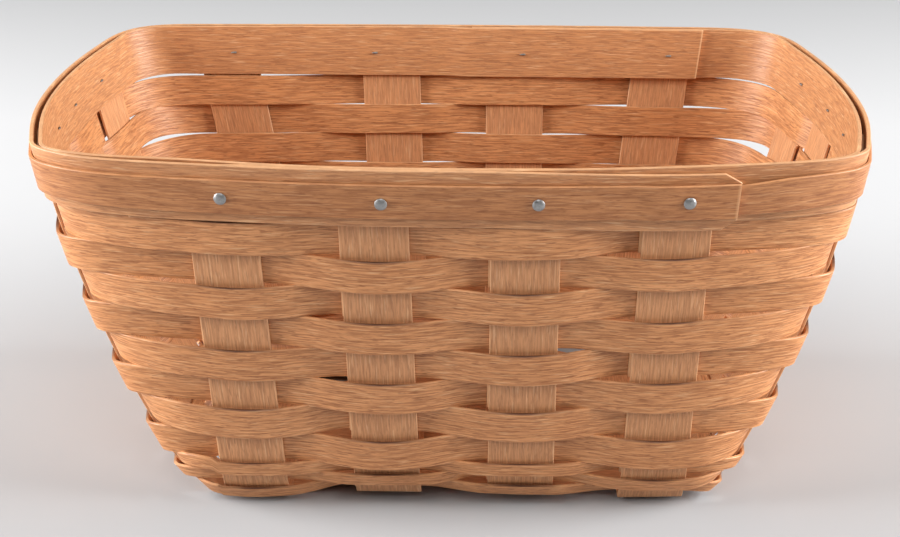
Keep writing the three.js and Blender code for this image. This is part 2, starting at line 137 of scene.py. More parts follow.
def share_at(z):
    return (z - CROSS_LEVEL) / (HEIGHT - CROSS_LEVEL)


def between(k, name, z):
    u = uprights[k % COUNT]
    return u["foot" + name].lerp(u["rim" + name], share_at(z))


def tuck_at(z):
    """How far the walls' lowest part turns in under the basket."""
    return FOOT_TUCK * max(0, 1 - (z - CROSS_LEVEL) / TUCK_HEIGHT) ** 2


def upright_at(k, z):
    u = uprights[k % COUNT]
    swell = 4 * u["bulge"] * share_at(z) * (1 - share_at(z)) - tuck_at(z)
    return between(k, "", z) + u["outward"] * swell + Vector((0, 0, z))


def upright_up(k, z):
    return (upright_at(k, z + SLOPE_STEP) - upright_at(k, z - SLOPE_STEP)).normalized()


def out_of(along, up):
    return along.cross(up).normalized()


def bend_of(k, level):
    corner = upright_at(k, level)
    up = upright_up(k, level)
    inward = out_of(between(k, "_along", CROSS_LEVEL), up)
    inward = -Vector((inward.x, inward.y, 0)).normalized()
    half = math.acos(up.dot(inward)) / 2
    return corner, up, inward, BEND_RADIUS / math.tan(half)


def wall_path(k, level):
    """From an upright's top down its wall and round the bend: places, width and face directions."""
    corner, up, inward, reach = bend_of(k, level)
    top, low = HEIGHT - STRIP_TOP_DROP, corner.z + reach * up.z
    path = []
    for i in range(WALL_STEPS + 1):
        z = top + (low - top) * i / WALL_STEPS
        along = between(k, "_along", z).normalized()
        path.append((upright_at(k, z), along, out_of(along, upright_up(k, z))))
    along = between(k, "_along", CROSS_LEVEL).normalized()
    for i in range(1, BEND_STEPS + 1):
        t = i / BEND_STEPS
        at = corner + up * (reach * (1 - t) ** 2) + inward * (reach * t * t)
        path.append((at, along, out_of(along, up * (1 - t) - inward * t)))
    return path


def far_wall_path(k, level):
    return [(at, -along, face) for at, along, face in reversed(wall_path(k, level))]


def add(tree, kind, links=(), **values):
    """A node with its settings, its socket values and the links into it."""
    made = tree.nodes.new(kind)
    for name, value in values.items():
        setattr(made, name, value)
    for socket, source in links:
        target = made.inputs[socket]
        if isinstance(source, bpy.types.NodeSocket):
            tree.links.new(source, target)
        else:
            target.default_value = source
    return made


# The node tree lays a chamfered strip along a guide line whose points carry its width and face
# directions, and keeps where each point lies on the strip, for the grain.
splint = bpy.data.node_groups.new("splint_strip", "GeometryNodeTree")
splint.interface.new_socket("Guide", in_out="INPUT", socket_type="NodeSocketGeometry")
for label in ("Width", "Thickness", "Chamfer", "Tone"):
    splint.interface.new_socket(label, in_out="INPUT", socket_type="NodeSocketFloat")
splint.interface.new_socket("Finish", in_out="INPUT", socket_type="NodeSocketMaterial")
splint.interface.new_socket("Strip", in_out="OUTPUT", socket_type="NodeSocketGeometry")
given = splint.nodes.new("NodeGroupInput").outputs


def keep(geometry, name, value, kind="FLOAT"):
    return add(splint, "GeometryNodeStoreNamedAttribute",
               [("Geometry", geometry), ("Name", name), ("Value", value)], data_type=kind).outputs[0]


def kept(name, kind="FLOAT"):
    return add(splint, "GeometryNodeInputNamedAttribute", [("Name", name)], data_type=kind).outputs[0]


def vector_math(operation, *sources):
    made = splint.nodes.new("ShaderNodeVectorMath")
    made.operation = operation
    for i, source in enumerate(sources):
        splint.links.new(source, made.inputs["Scale" if operation == "SCALE" and i == 1 else i])
    return made.outputs[0]


def float_math(operation, *sources):
    made = splint.nodes.new("ShaderNodeMath")
    made.operation = operation
    for i, source in enumerate(sources):
        if isinstance(source, bpy.types.NodeSocket):
            splint.links.new(source, made.inputs[i])
        else:
            made.inputs[i].default_value = source
    return made.outputs[0]


place = splint.nodes.new("GeometryNodeInputPosition").outputs[0]
line = add(splint, "GeometryNodeMeshToCurve", [("Mesh", given["Guide"])]).outputs[0]
line = keep(line, "middle", place, "FLOAT_VECTOR")
length = splint.nodes.new("GeometryNodeSplineParameter").outputs["Length"]
line = keep(line, "along", length)
profile = add(splint, "GeometryNodeCurvePrimitiveQuadrilateral",
              [("Width", given["Width"]), ("Height", given["Thickness"])]).outputs[0]
profile = add(splint, "GeometryNodeFilletCurve", [("Curve", profile), ("Radius", given["Chamfer"]),
                                                  ("Count", 1)], mode="POLY").outputs[0]
profile = keep(profile, "section", place, "FLOAT_VECTOR")
body = add(splint, "GeometryNodeCurveToMesh",
           [("Curve", line), ("Profile Curve", profile), ("Fill Caps", True)]).outputs[0]
parts = add(splint, "ShaderNodeSeparateXYZ", [(0, kept("section", "FLOAT_VECTOR"))]).outputs
across = float_math("MULTIPLY", parts["X"], kept("taper"))
moved = vector_math("ADD", kept("middle", "FLOAT_VECTOR"),
                    vector_math("SCALE", kept("width_way", "FLOAT_VECTOR"), across))
moved = vector_math("ADD", moved, vector_math("SCALE", kept("face_way", "FLOAT_VECTOR"), parts["Y"]))
body = add(splint, "GeometryNodeSetPosition", [("Geometry", body), ("Position", moved)]).outputs[0]
body = keep(body, "across", across)
body = keep(body, "side", float_math("DIVIDE", parts["X"], float_math("MULTIPLY", given["Width"], 0.5)))
body = keep(body, "tone", given["Tone"])
body = add(splint, "GeometryNodeRealizeInstances", [("Geometry", body)]).outputs[0]
body = add(splint, "GeometryNodeSetMaterial", [("Geometry", body), ("Material", given["Finish"])]).outputs[0]
splint.links.new(body, splint.nodes.new("NodeGroupOutput").inputs[0])


def settle(holder, name):
    """The evaluated mesh of a piece as a plain mesh, without the modifier that made it."""
    made = bpy.data.meshes.new_from_object(holder.evaluated_get(bpy.context.evaluated_depsgraph_get()))
    made.name = name
    guide = holder.data
    holder.modifiers.clear()
    holder.data = made
    bpy.data.meshes.remove(guide)
    return made


# The base has bowed up a little, so the basket stands on its corners
ARCH_RISE = 0.003
ARCH_HALF = 0.08
ARCH_HEIGHT = 0.05


def arched(at):
    span = max(0, 1 - ((at.x - FOOT_SHIFT.x) / ARCH_HALF) ** 2)
    return at + Vector((0, 0, ARCH_RISE * span * max(0, 1 - at.z / ARCH_HEIGHT)))


def lay_strip(name, path, width, thickness, finish, tone, tapers=None, stain_and_shade_marks=None):
    """One strip along a path. Tapers narrow it, and stain marks darken its upper edge point by point: partly
    real stain, partly painted shade.
    """
    guide = bpy.data.meshes.new(name + "_guide")
    guide.from_pydata([arched(at) for at, _, _ in path], [(i, i + 1) for i in range(len(path) - 1)], [])
    for label, values in (("width_way", [v for _, v, _ in path]), ("face_way", [v for _, _, v in path])):
        flat = [c for v in values for c in v]
        guide.attributes.new(label, "FLOAT_VECTOR", "POINT").data.foreach_set("vector", flat)
    ends = [1.0] + [0.0] * (len(path) - 2) + [1.0]
    for label, values in (("taper", tapers or [1.0] * len(path)), ("end_cut", ends),
                          ("stain_and_shade", stain_and_shade_marks or [0.0] * len(path))):
        guide.attributes.new(label, "FLOAT", "POINT").data.foreach_set("value", values)
    strip = bpy.data.objects.new(name + "_looks", guide)
    scene.collection.objects.link(strip)
    maker = strip.modifiers.new("strip", "NODES")
    maker.node_group = splint
    sizes = {"Width": width, "Thickness": thickness, "Chamfer": STRIP_CHAMFER, "Tone": tone,
             "Finish": finish}
    for label, value in sizes.items():
        maker[splint.interface.items_tree[label].identifier] = value
    mesh = settle(strip, name + "_looks")
    mesh.set_sharp_from_angle(angle=STRIP_CREASE)
    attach(strip, "root")
    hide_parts(name)


# Dark colour of a weaver's upper edge where it passes in front of an upright: partly stain gathered where the
# pieces cross, partly painted shade of the gap between the row and the upright.
STAIN_AND_SHADE = (0.07, 0.022, 0.008, 1)
TONE_SHIFT = 7.31


def splint_finish(name, pale, deep, fleck, cut, rough, edge_share):
    """Thinly varnished split hardwood: fibres, short flecks, broad clouds, pale edges, and upper edges
    darkened where marked, partly by stain and partly by painted shade.
    """
    finish = bpy.data.materials.new(name)
    finish.use_nodes = True
    tree = finish.node_tree
    shader = tree.nodes["Principled BSDF"]

    def read(label):
        return add(tree, "ShaderNodeAttribute", attribute_name=label).outputs["Fac"]

    def mix(factor, one, two, blend="MIX"):
        made = add(tree, "ShaderNodeMix", data_type="RGBA", blend_type=blend)
        for socket, source in ((made.inputs[0], factor), (made.inputs[6], one), (made.inputs[7], two)):
            if isinstance(source, bpy.types.NodeSocket):
                tree.links.new(source, socket)
            else:
                socket.default_value = source
        return made.outputs[2]

    def within(value, low, high, most=1):
        return add(tree, "ShaderNodeMapRange", [("Value", value), ("From Min", low), ("From Max", high),
                                                ("To Max", most)]).outputs[0]

    def grain(stretch, detail, low, high):
        scaled = add(tree, "ShaderNodeVectorMath", [(0, spot), (1, stretch)],
                     operation="MULTIPLY").outputs[0]
        value = add(tree, "ShaderNodeTexNoise", [("Vector", scaled), ("Scale", 1), ("Detail", detail),
                                                 ("Roughness", 0.6)]).outputs["Fac"]
        return within(value, low, high)

    def part_of(source, share):
        return add(tree, "ShaderNodeMath", [(0, source), (1, share)], operation="MULTIPLY").outputs[0]

    shifted = add(tree, "ShaderNodeMath", [(0, read("tone")), (1, TONE_SHIFT), (2, read("along"))],
                  operation="MULTIPLY_ADD").outputs[0]
    spot = add(tree, "ShaderNodeCombineXYZ",
               [(0, shifted), (1, read("across")), (2, read("tone"))]).outputs[0]
    clouds = grain((14, 60, 9), 2, 0.3, 0.7)
    bands = grain((5, 330, 11), 3, 0.34, 0.66)
    fibres = grain((95, 1500, 13), 3, 0.40, 0.60)
    flecks = grain((170, 1300, 17), 2, 0.56, 0.66)
    glints = grain((90, 1500, 29), 2, 0.57, 0.72)
    tint = mix(clouds, pale, deep)
    tint = mix(part_of(bands, 0.5), tint, deep)
    tint = mix(part_of(read("tone"), 0.45), tint, deep)
    tint = mix(part_of(fibres, 0.56), tint, fleck)
    tint = mix(part_of(flecks, 0.6), tint, fleck)
    tint = mix(part_of(glints, 0.6), tint, cut)
    either = add(tree, "ShaderNodeMath", [(0, read("side"))], operation="ABSOLUTE").outputs[0]
    tint = mix(within(either, 0.955, 1, edge_share), tint, cut)
    # Painted shade mixed with stain: the upper edge darkens where the row passes in front of an upright.
    tint = mix(part_of(within(read("side"), 0.92, 0.99), read("stain_and_shade")), tint, STAIN_AND_SHADE)
    tint = mix(read("end_cut"), tint, cut)
    tree.links.new(tint, shader.inputs["Base Color"])
    polish = add(tree, "ShaderNodeMapRange", [("Value", fibres), ("To Min", rough - 0.06),
                                              ("To Max", rough + 0.08)]).outputs[0]
    tree.links.new(polish, shader.inputs["Roughness"])
    relief = add(tree, "ShaderNodeMath", [(0, flecks), (1, 0.7), (2, fibres)],
                 operation="MULTIPLY_ADD").outputs[0]
    bump = add(tree, "ShaderNodeBump", [("Height", relief), ("Strength", 0.3), ("Distance", 0.00012)],
               invert=True)
    tree.links.new(bump.outputs[0], shader.inputs["Normal"])
    return finish


upright_wood = splint_finish("upright_wood", (0.70, 0.335, 0.150, 1), (0.61, 0.28, 0.12, 1),
                             (0.39, 0.165, 0.07, 1), (0.80, 0.49, 0.27, 1), 0.52, 0.4)


def level_of(long, cross):
    return OVER_LEVEL if (long + cross) % 2 else UNDER_LEVEL


for i in range(4):
    path = wall_path(i, CROSS_LEVEL) + far_wall_path(11 - i, CROSS_LEVEL)
    lay_strip(f"cross_strip_{i + 1}", path, STRIP_WIDTH, STRIP_THICKNESS, upright_wood,
              0.13 + 0.21 * i)

for i in range(4):
    right, left = 4 + i, 15 - i
    along = between(right, "_along", CROSS_LEVEL).normalized()
    y = uprights[right]["foot"].y
    path = wall_path(right, level_of(i, 3))
    for c in (3, 2, 1, 0):
        x, level = uprights[c]["foot"].x, level_of(i, c)
        path += [(Vector((x + s * HALF_ZONE, y, level)), along, Vector((0, 0, -1))) for s in (1, 0, -1)]
        if c:
            beyond, next_level = uprights[c - 1]["foot"].x, level_of(i, c - 1)
            for s in range(1, BEND_STEPS):
                t = s / BEND_STEPS
                spot_x = (x - HALF_ZONE) * (1 - t) + (beyond + HALF_ZONE) * t
                height = level + (next_level - level) * smooth(t)
                path.append((Vector((spot_x, y, height)), along, Vector((0, 0, -1))))
    path += far_wall_path(left, level_of(i, 0))
    lay_strip(f"long_strip_{i + 1}", path, STRIP_WIDTH, STRIP_THICKNESS, upright_wood,
              0.07 + 0.24 * i)


# Weavers: flat rings of the same split wood, woven one row at a time from the foot upwards.
# Each passes in front of every second upright and laps over its own start behind a front one.
# The three lowest rows are narrower.
WEAVER_THICKNESS = 0.0012
WEAVER_WIDTH = 0.01275
NARROW_WIDTH = 0.00545
NARROW_ROWS = 3
WIDE_ROWS = 8
ROW_GAP = 0.0002
ROW_SWELL = 0.00034
OUTWARD_BOW = 0.0014
OUTWARD_SAG = 0.0009
NARROW_BOW = 0.0006
TOP_ROW = NARROW_ROWS + WIDE_ROWS - 1
ROW_WANDER = 0.00014
WIDEST_SHARE = 1.035
OUTER_BAND_WIDTH = 0.022
WEAVER_OFFSET = (STRIP_THICKNESS + WEAVER_THICKNESS) / 2 + LAYER_GAP
STEP = 1e-3
FLAT_STEPS = 6


def hermite(p0, m0, p1, m1, t):
    s = smooth(t)
    return p0 * (1 - s) + p1 * s + m0 * (t * (1 - t) ** 2) + m1 * (t * t * (t - 1))


def wall_point(g, z):
    k = math.floor(g)
    part = 2 * (g - k)
    here, along = upright_at(k, z), between(k, "_along", z)
    if part <= 1:
        return here + along * ((2 * part - 1) * HALF_ZONE)
    beyond = upright_at(k + 1, z) - between(k + 1, "_along", z) * HALF_ZONE
    pull = 1 - tuck_at(z) / CORNER_ROOM if k % 4 == 3 else 1
    return hermite(here + along * HALF_ZONE, between(k, "_leave", z) * pull,
                   beyond, between(k, "_arrive", z) * pull, part - 1)


def is_outside(row, k):
    return (row + k) % 2 == 0


def over_upright(row, g):
    """1 where a row passes in front of an upright's middle, falling to 0 halfway to the next ones."""
    k = math.floor(g + 0.25)
    return math.cos(math.pi * (g - k - 0.25)) ** 2 if is_outside(row, k) else 0


# Rows that stand apart, under the front uprights and at the corners: row, place, reach and lift
loose_spots = [(0, 0.3, 0.5, -0.0014), (1, 3.2, 0.5, -0.001),
               (3, 1.25, 0.42, -0.0014), (4, 1.25, 0.42, 0.0017),
               (2, 15.9, 0.16, 0.0022), (3, 15.88, 0.16, -0.001),
               (9, 7.56, 0.2, 0.0017), (8, 7.56, 0.2, -0.0017),
               (9, 11.85, 0.22, 0.001), (8, 11.85, 0.22, -0.001)]


def slack(row, g):
    return sum(lift * math.exp(-((g % COUNT - at) / reach) ** 2)
               for loose, at, reach, lift in loose_spots if loose == row)


def wall_row(row, z):
    def surface(g):
        up = (wall_point(g, z + SLOPE_STEP) - wall_point(g, z - SLOPE_STEP)).normalized()
        round_way = 2 * math.pi * g / COUNT
        drift = math.sin(3 * round_way + 1.7 * row) + 0.6 * math.sin(5 * round_way + 0.9 * row)
        sag = OUTWARD_SAG * over_upright(row, g) if NARROW_ROWS <= row < TOP_ROW else 0
        shift = ROW_WANDER * drift + slack(row, g) - sag
        return wall_point(g, z) + up * shift, up
    return surface


def stations(start, stop, extra=()):
    marks = [start, stop, *extra]
    for k in range(math.floor(start), math.ceil(stop) + 1):
        marks += [k + 0.5 * i / FLAT_STEPS for i in range(FLAT_STEPS)]
        steps = uprights[k % COUNT]["steps"]
        marks += [k + 0.5 + 0.5 * i / steps for i in range(steps)]
    marks = sorted(g for g in marks if start <= g <= stop)
    return [g for i, g in enumerate(marks) if i == 0 or g - marks[i - 1] > STEP]


def ring_path(surface, offset, marks):
    def middle(g):
        at, up = surface(g)
        along = surface(g + STEP)[0] - surface(g - STEP)[0]
        return at + out_of(along, up) * offset(g)

    path = []
    for g in marks:
        up = surface(g)[1]
        face = out_of(middle(g + STEP) - middle(g - STEP), up)
        path.append((middle(g), up, face))
    return path


def weave_offset(row, g):
    k = math.floor(g)
    part = 2 * (g - k)
    here = WEAVER_OFFSET if is_outside(row, k) else -WEAVER_OFFSET
    woven = here if part <= 1 else here * (1 - 2 * smooth(part - 1))
    return woven + (NARROW_BOW if row < NARROW_ROWS else OUTWARD_BOW) * over_upright(row, g)


def lay_weaver(name, row, z, width):
    start = (row + 1) % 4
    lift = WEAVER_THICKNESS + LAYER_GAP

    def offset(g):
        return weave_offset(row, g) - lift * ramp(g, COUNT + start - 0.5, COUNT + start)

    marks = stations(start, COUNT + start + 0.5)
    path = ring_path(wall_row(row, z), offset, marks)
    # How far the upper edge is darkened in front of each upright: partly stain, partly painted shade.
    stain_and_shade_marks = [over_upright(row, g) for g in marks]
    tapers = [min(WIDEST_SHARE, 1 / up.z) for _, up, _ in path]
    lay_strip(name, path, width + ROW_SWELL, WEAVER_THICKNESS, weaver_wood, 0.31 * row % 1,
              tapers, stain_and_shade_marks)


weaver_wood = splint_finish("weaver_wood", (0.745, 0.35, 0.147, 1), (0.615, 0.262, 0.098, 1),
                            (0.25, 0.075, 0.020, 1), (0.80, 0.47, 0.24, 1), 0.48, 0.25)


def bend_top(k):
    corner, up, _, reach = bend_of(k, CROSS_LEVEL if k % 8 < 4 else OVER_LEVEL)
    return corner.z + reach * up.z


narrow_from = max(bend_top(k) for k in range(COUNT))
wide_from = narrow_from + NARROW_ROWS * (NARROW_WIDTH + ROW_GAP)
wide_space = HEIGHT - OUTER_BAND_WIDTH - ROW_GAP - wide_from
for i in range(NARROW_ROWS):
    z = narrow_from + (NARROW_WIDTH + ROW_GAP) * (i + 0.5)
    lay_weaver(f"narrow_weaver_{i + 1}", i, z, NARROW_WIDTH)
for i in range(WIDE_ROWS):
    z = wide_from + wide_space * (i + 0.5) / WIDE_ROWS
    lay_weaver(f"weaver_{i + 1}", NARROW_ROWS + i, z, WEAVER_WIDTH)


# Rim: an inner and an outer band clasp the uprights' tops, and a narrower trim strip runs
# round the outer one. Each ring's ends lap: the inner band's at the back, the other two's
# at the front, where the outer band's last end has its corners cut off.
BAND_THICKNESS = 0.0015
INNER_BAND_WIDTH = 0.0218
BAND_END_CHAMFER = 0.0038
TRIM_THICKNESS = 0.0013
TRIM_WIDTH = 0.0132
TRIM_DROP = 0.0052
LAYER_STEP = BAND_THICKNESS + LAYER_GAP
BAND_OFFSET = (STRIP_THICKNESS + BAND_THICKNESS) / 2 + LAYER_GAP
TRIM_STEP = TRIM_THICKNESS + LAYER_GAP
TRIM_OFFSET = BAND_OFFSET + (BAND_THICKNESS + TRIM_THICKNESS) / 2 + LAYER_GAP
OUTER_BAND_START, OUTER_BAND_END = -0.11, 3.535
TRIM_START, TRIM_END = 3.12, 3.53
INNER_BAND_START, INNER_BAND_END = 7.98, 9.6
CHAMFER_RUN = 0.028
LIFT_RUN = 0.22
LAP_MARGIN = 0.02
CORNER_SQUEEZE = 0.0015
TRIM_TUCK_START, TRIM_TUCK_END = 3.5, 3.64
TUCKED_SHARE = 0.84


def climb(g, at):
    return ramp(g, at - LAP_MARGIN - LIFT_RUN, at - LAP_MARGIN)


def descend(g, at):
    return 1 - ramp(g, at + LAP_MARGIN, at + LAP_MARGIN + LIFT_RUN)


def outer_band_offset(g):
    return BAND_OFFSET + LAYER_STEP * climb(g, OUTER_BAND_START + COUNT)


def squeeze(g):
    """How far the inner band is drawn to the outer one at a corner, where no upright is between."""
    part = 2 * (g - math.floor(g)) - 1
    closed = ramp(part, 0, 0.35) * (1 - ramp(part, 0.65, 1))
    return CORNER_SQUEEZE * closed if math.floor(g) % 4 == 3 else 0


def inner_band_offset(g):
    return squeeze(g) - BAND_OFFSET - LAYER_STEP * descend(g, INNER_BAND_END)


def trim_offset(g):
    stacked = descend(g, OUTER_BAND_END) if g < COUNT / 2 else climb(g, OUTER_BAND_START + COUNT)
    return TRIM_OFFSET + LAYER_STEP * stacked + TRIM_STEP * climb(g, TRIM_START + COUNT)


# The upper edges aren't level: the bands sink a little towards the front, most at their laps' ends
def outer_band_drop(g):
    return 0.0027 * ramp(g, COUNT + 1.75, COUNT + 3.5) + 0.0014 * (1 - ramp(g, -0.1, 0.6))


def inner_band_drop(g):
    sunk = 0.0009 * ramp(g, COUNT - 0.3, COUNT + 1) + 0.0008 * ramp(g, COUNT + 2, COUNT + 3.3)
    return sunk * (1 - ramp(g, COUNT + 3.4, COUNT + 4.2))


def trim_drop(g):
    sunk = 0.0008 * ramp(g, COUNT + 1.5, COUNT + 3.5)
    return TRIM_DROP + sunk + 0.001 * (1 - ramp(g, TRIM_TUCK_START, TRIM_TUCK_END))


def rim_point(g):
    """The wall's middle line at the rim, curved evenly from a wall's first upright to its last."""
    k, part = math.floor(g) % COUNT, g % 1
    side, i = divmod(k, 4)
    if not 0.25 <= i + part <= 3.25:
        return wall_point(g, HEIGHT)
    shift, beyond = uprights[k]["rim_shift"], uprights[(k + 1) % COUNT]["rim_shift"]
    if part <= 0.5:
        shift += (4 * part - 1) * HALF_ZONE
    else:
        shift += HALF_ZONE + (beyond - shift - 2 * HALF_ZONE) * (2 * part - 1)
    wall = walls[side]
    away = shift - wall["centre"]
    distance = wall["rim"] - away * away / (2 * wall["radii"][0 if away < 0 else 1])
    quarter = Matrix.Rotation(side * math.pi / 2, 3, "Z")
    return quarter @ Vector((shift, -distance, 0)) + MIDDLE_SHIFT + Vector((0, 0, HEIGHT))


def rim_up(point_at):
    return (point_at(HEIGHT) - point_at(HEIGHT - OUTER_BAND_WIDTH)).normalized()


def rim_surface(offset, drop, width):
    def surface(g):
        up = rim_up(lambda z: wall_point(g, z))
        along = rim_point(g + STEP) - rim_point(g - STEP)
        slide = offset(g) * out_of(along, up).z / up.z
        return rim_point(g) - up * (drop(g) + width / 2 + slide), up
    return surface


band_wood = splint_finish("band_wood", (0.65, 0.307, 0.132, 1), (0.555, 0.243, 0.096, 1),
                          (0.31, 0.12, 0.048, 1), (0.82, 0.50, 0.27, 1), 0.46, 0.4)
trim_wood = splint_finish("trim_wood", (0.58, 0.26, 0.102, 1), (0.47, 0.19, 0.067, 1),
                          (0.22, 0.066, 0.019, 1), (0.66, 0.34, 0.16, 1), 0.46, 0.4)

END_STRIP = 0.006


def rim_marks(start, stop, *extra):
    return stations(start, stop, [start + END_STRIP, stop - END_STRIP, *extra])


marks = rim_marks(INNER_BAND_START, INNER_BAND_END + COUNT)
surface = rim_surface(inner_band_offset, inner_band_drop, INNER_BAND_WIDTH)
path = ring_path(surface, inner_band_offset, marks)
lay_strip("inner_band", path, INNER_BAND_WIDTH, BAND_THICKNESS, band_wood, 0.62)

last = OUTER_BAND_END + COUNT
marks = rim_marks(OUTER_BAND_START, last, last - CHAMFER_RUN)
surface = rim_surface(outer_band_offset, outer_band_drop, OUTER_BAND_WIDTH)
path = ring_path(surface, outer_band_offset, marks)
cut_off = 2 * BAND_END_CHAMFER / OUTER_BAND_WIDTH
tapers = [1 - cut_off * max(0, 1 - (last - g) / CHAMFER_RUN) for g in marks]
lay_strip("outer_band", path, OUTER_BAND_WIDTH, BAND_THICKNESS, band_wood, 0.27,
          tapers)

marks = rim_marks(TRIM_START, TRIM_END + COUNT)
path = ring_path(rim_surface(trim_offset, trim_drop, TRIM_WIDTH), trim_offset, marks)
tapers = [TUCKED_SHARE + (1 - TUCKED_SHARE) * ramp(g, TRIM_TUCK_START, TRIM_TUCK_END) for g in marks]
lay_strip("trim_strip", path, TRIM_WIDTH, TRIM_THICKNESS, trim_wood, 0.81, tapers)


# Tacks: small domed steel heads, one through the rim at each upright. Each is driven from
# outside and its point is bent over on the inner band.
HEAD_RADIUS = 0.0023
HEAD_HEIGHT = 0.001
SHANK_SIZE = 0.0014
TACK_DROP = TRIM_DROP + TRIM_WIDTH / 2
TACK_SHIFTS = [0.0025, 0.004, 0.004, 0.0017, -0.003, -0.004, -0.008, -0.007,
               -0.002, -0.004, 0.006, -0.006, 0.008, 0.007, 0.002, 0.003]
HEAD_SIDES = 24
POINT_SIDES = 10
POINT_BEND = math.radians(97)
HEAD_CREASE = math.radians(40)

tack_steel = bpy.data.materials.new("tack_steel")
tack_steel.use_nodes = True
tree = tack_steel.node_tree
steel = tree.nodes["Principled BSDF"]
steel.inputs["Metallic"].default_value = 0.9
where = add(tree, "ShaderNodeTexCoord").outputs["Object"]
scuffs = add(tree, "ShaderNodeTexNoise", [("Vector", where), ("Scale", 1400), ("Detail", 3)]).outputs["Fac"]
dull = add(tree, "ShaderNodeMapRange", [("Value", scuffs), ("To Min", 0.28), ("To Max", 0.55)]).outputs[0]
tree.links.new(dull, steel.inputs["Roughness"])
grey = add(tree, "ShaderNodeMix", [(0, scuffs)], data_type="RGBA")
grey.inputs[6].default_value = (0.24, 0.235, 0.23, 1)
grey.inputs[7].default_value = (0.46, 0.45, 0.44, 1)
tree.links.new(grey.outputs[2], steel.inputs["Base Color"])
bump = add(tree, "ShaderNodeBump", [("Height", scuffs), ("Strength", 0.2), ("Distance", 0.0001)])
tree.links.new(bump.outputs[0], steel.inputs["Normal"])


def turned(profile, sides):
    """A closed turned shape from (radius, height) points, from its bottom middle to its top middle."""
    shape = bmesh.new()
    rings = []
    for radius, height in profile[1:-1]:
        turns = [2 * math.pi * i / sides for i in range(sides)]
        rings.append([shape.verts.new((radius * math.cos(a), radius * math.sin(a), height)) for a in turns])
    for low, high in zip(rings, rings[1:]):
        for i in range(sides):
            shape.faces.new((low[i], low[(i + 1) % sides], high[(i + 1) % sides], high[i]))
    for ring, (_, height), order in ((rings[0], profile[0], -1), (rings[-1], profile[-1], 1)):
        tip = shape.verts.new((0, 0, height))
        for i in range(sides):
            shape.faces.new((ring[i], ring[(i + 1) % sides], tip)[::order])
    return shape


def loose_shape(name, shape):
    mesh = bpy.data.meshes.new(name)
    shape.to_mesh(mesh)
    shape.free()
    holder = bpy.data.objects.new(name, mesh)
    scene.collection.objects.link(holder)
    return holder


head = loose_shape("tack_head", turned([(0, 0), (0.0019, 0), (HEAD_RADIUS, 0.00018), (HEAD_RADIUS, 0.00036),
                                        (0.0019, 0.0007), (0.0011, 0.00092), (0.0005, 0.00099),
                                        (0, HEAD_HEIGHT)], HEAD_SIDES))
point = loose_shape("tack_point", turned([(0, -0.0005), (0.0004, -0.0005), (0.0005, 0.0002), (0.0004, 0.0011),
                                          (0.0002, 0.0018), (0, 0.0021)], POINT_SIDES))

# The node tree sets a head on each place outside and a point on each place inside.
tack_tree = bpy.data.node_groups.new("tack_set", "GeometryNodeTree")
tack_tree.interface.new_socket("Places", in_out="INPUT", socket_type="NodeSocketGeometry")
for label in ("Head", "Point"):
    tack_tree.interface.new_socket(label, in_out="INPUT", socket_type="NodeSocketObject")
tack_tree.interface.new_socket("Finish", in_out="INPUT", socket_type="NodeSocketMaterial")
tack_tree.interface.new_socket("Tacks", in_out="OUTPUT", socket_type="NodeSocketGeometry")
given = tack_tree.nodes.new("NodeGroupInput").outputs
joined = tack_tree.nodes.new("GeometryNodeJoinGeometry")
turns = add(tack_tree, "GeometryNodeInputNamedAttribute", [("Name", "turn")],
            data_type="FLOAT_VECTOR").outputs[0]
turns = add(tack_tree, "FunctionNodeEulerToRotation", [(0, turns)]).outputs[0]
for label in ("Head", "Point"):
    chosen = add(tack_tree, "GeometryNodeInputNamedAttribute", [("Name", label.lower())],
                 data_type="BOOLEAN").outputs[0]
    shape = add(tack_tree, "GeometryNodeObjectInfo", [("Object", given[label])]).outputs["Geometry"]
    spread = add(tack_tree, "GeometryNodeInstanceOnPoints", [
        ("Points", given["Places"]), ("Selection", chosen), ("Instance", shape), ("Rotation", turns)])
    tack_tree.links.new(spread.outputs[0], joined.inputs[0])
whole = add(tack_tree, "GeometryNodeRealizeInstances", [("Geometry", joined.outputs[0])]).outputs[0]
whole = add(tack_tree, "GeometryNodeSetMaterial",
            [("Geometry", whole), ("Material", given["Finish"])]).outputs[0]
tack_tree.links.new(whole, tack_tree.nodes.new("NodeGroupOutput").inputs[0])

places, turn_list, is_head = [], [], []
bend = Matrix.Rotation(POINT_BEND, 3, "Y")
for k in range(COUNT):
    up = rim_up(lambda z: upright_at(k, z))
    along = between(k, "_along", HEIGHT - TACK_DROP).normalized()
    out = out_of(along, up)
    up = out.cross(along)
    at = upright_at(k, HEIGHT) - up * TACK_DROP + along * TACK_SHIFTS[k]
    middle = k + 0.25
    lapped = TRIM_STEP if TRIM_START < middle < TRIM_END else 0
    outside = trim_offset(middle) + lapped + TRIM_THICKNESS / 2
    inside = inner_band_offset(middle if middle > INNER_BAND_START else middle + COUNT) - BAND_THICKNESS / 2
    facing = Matrix((along, up, out)).transposed()
    places += [at + out * outside, at + out * (inside - SHANK_SIZE / 4)]
    turn_list += [*facing.to_euler(), *(facing @ bend).to_euler()]
    is_head += [True, False]
guide = bpy.data.meshes.new("tack_places")
guide.from_pydata(places, [], [])
guide.attributes.new("turn", "FLOAT_VECTOR", "POINT").data.foreach_set("vector", turn_list)
guide.attributes.new("head", "BOOLEAN", "POINT").data.foreach_set("value", is_head)
guide.attributes.new("point", "BOOLEAN", "POINT").data.foreach_set("value", [not v for v in is_head])
tacks = bpy.data.objects.new("tacks", guide)
scene.collection.objects.link(tacks)
maker = tacks.modifiers.new("tacks", "NODES")
maker.node_group = tack_tree
for label, value in (("Head", head), ("Point", point), ("Finish", tack_steel)):
    maker[tack_tree.interface.items_tree[label].identifier] = value
mesh = settle(tacks, "tacks")
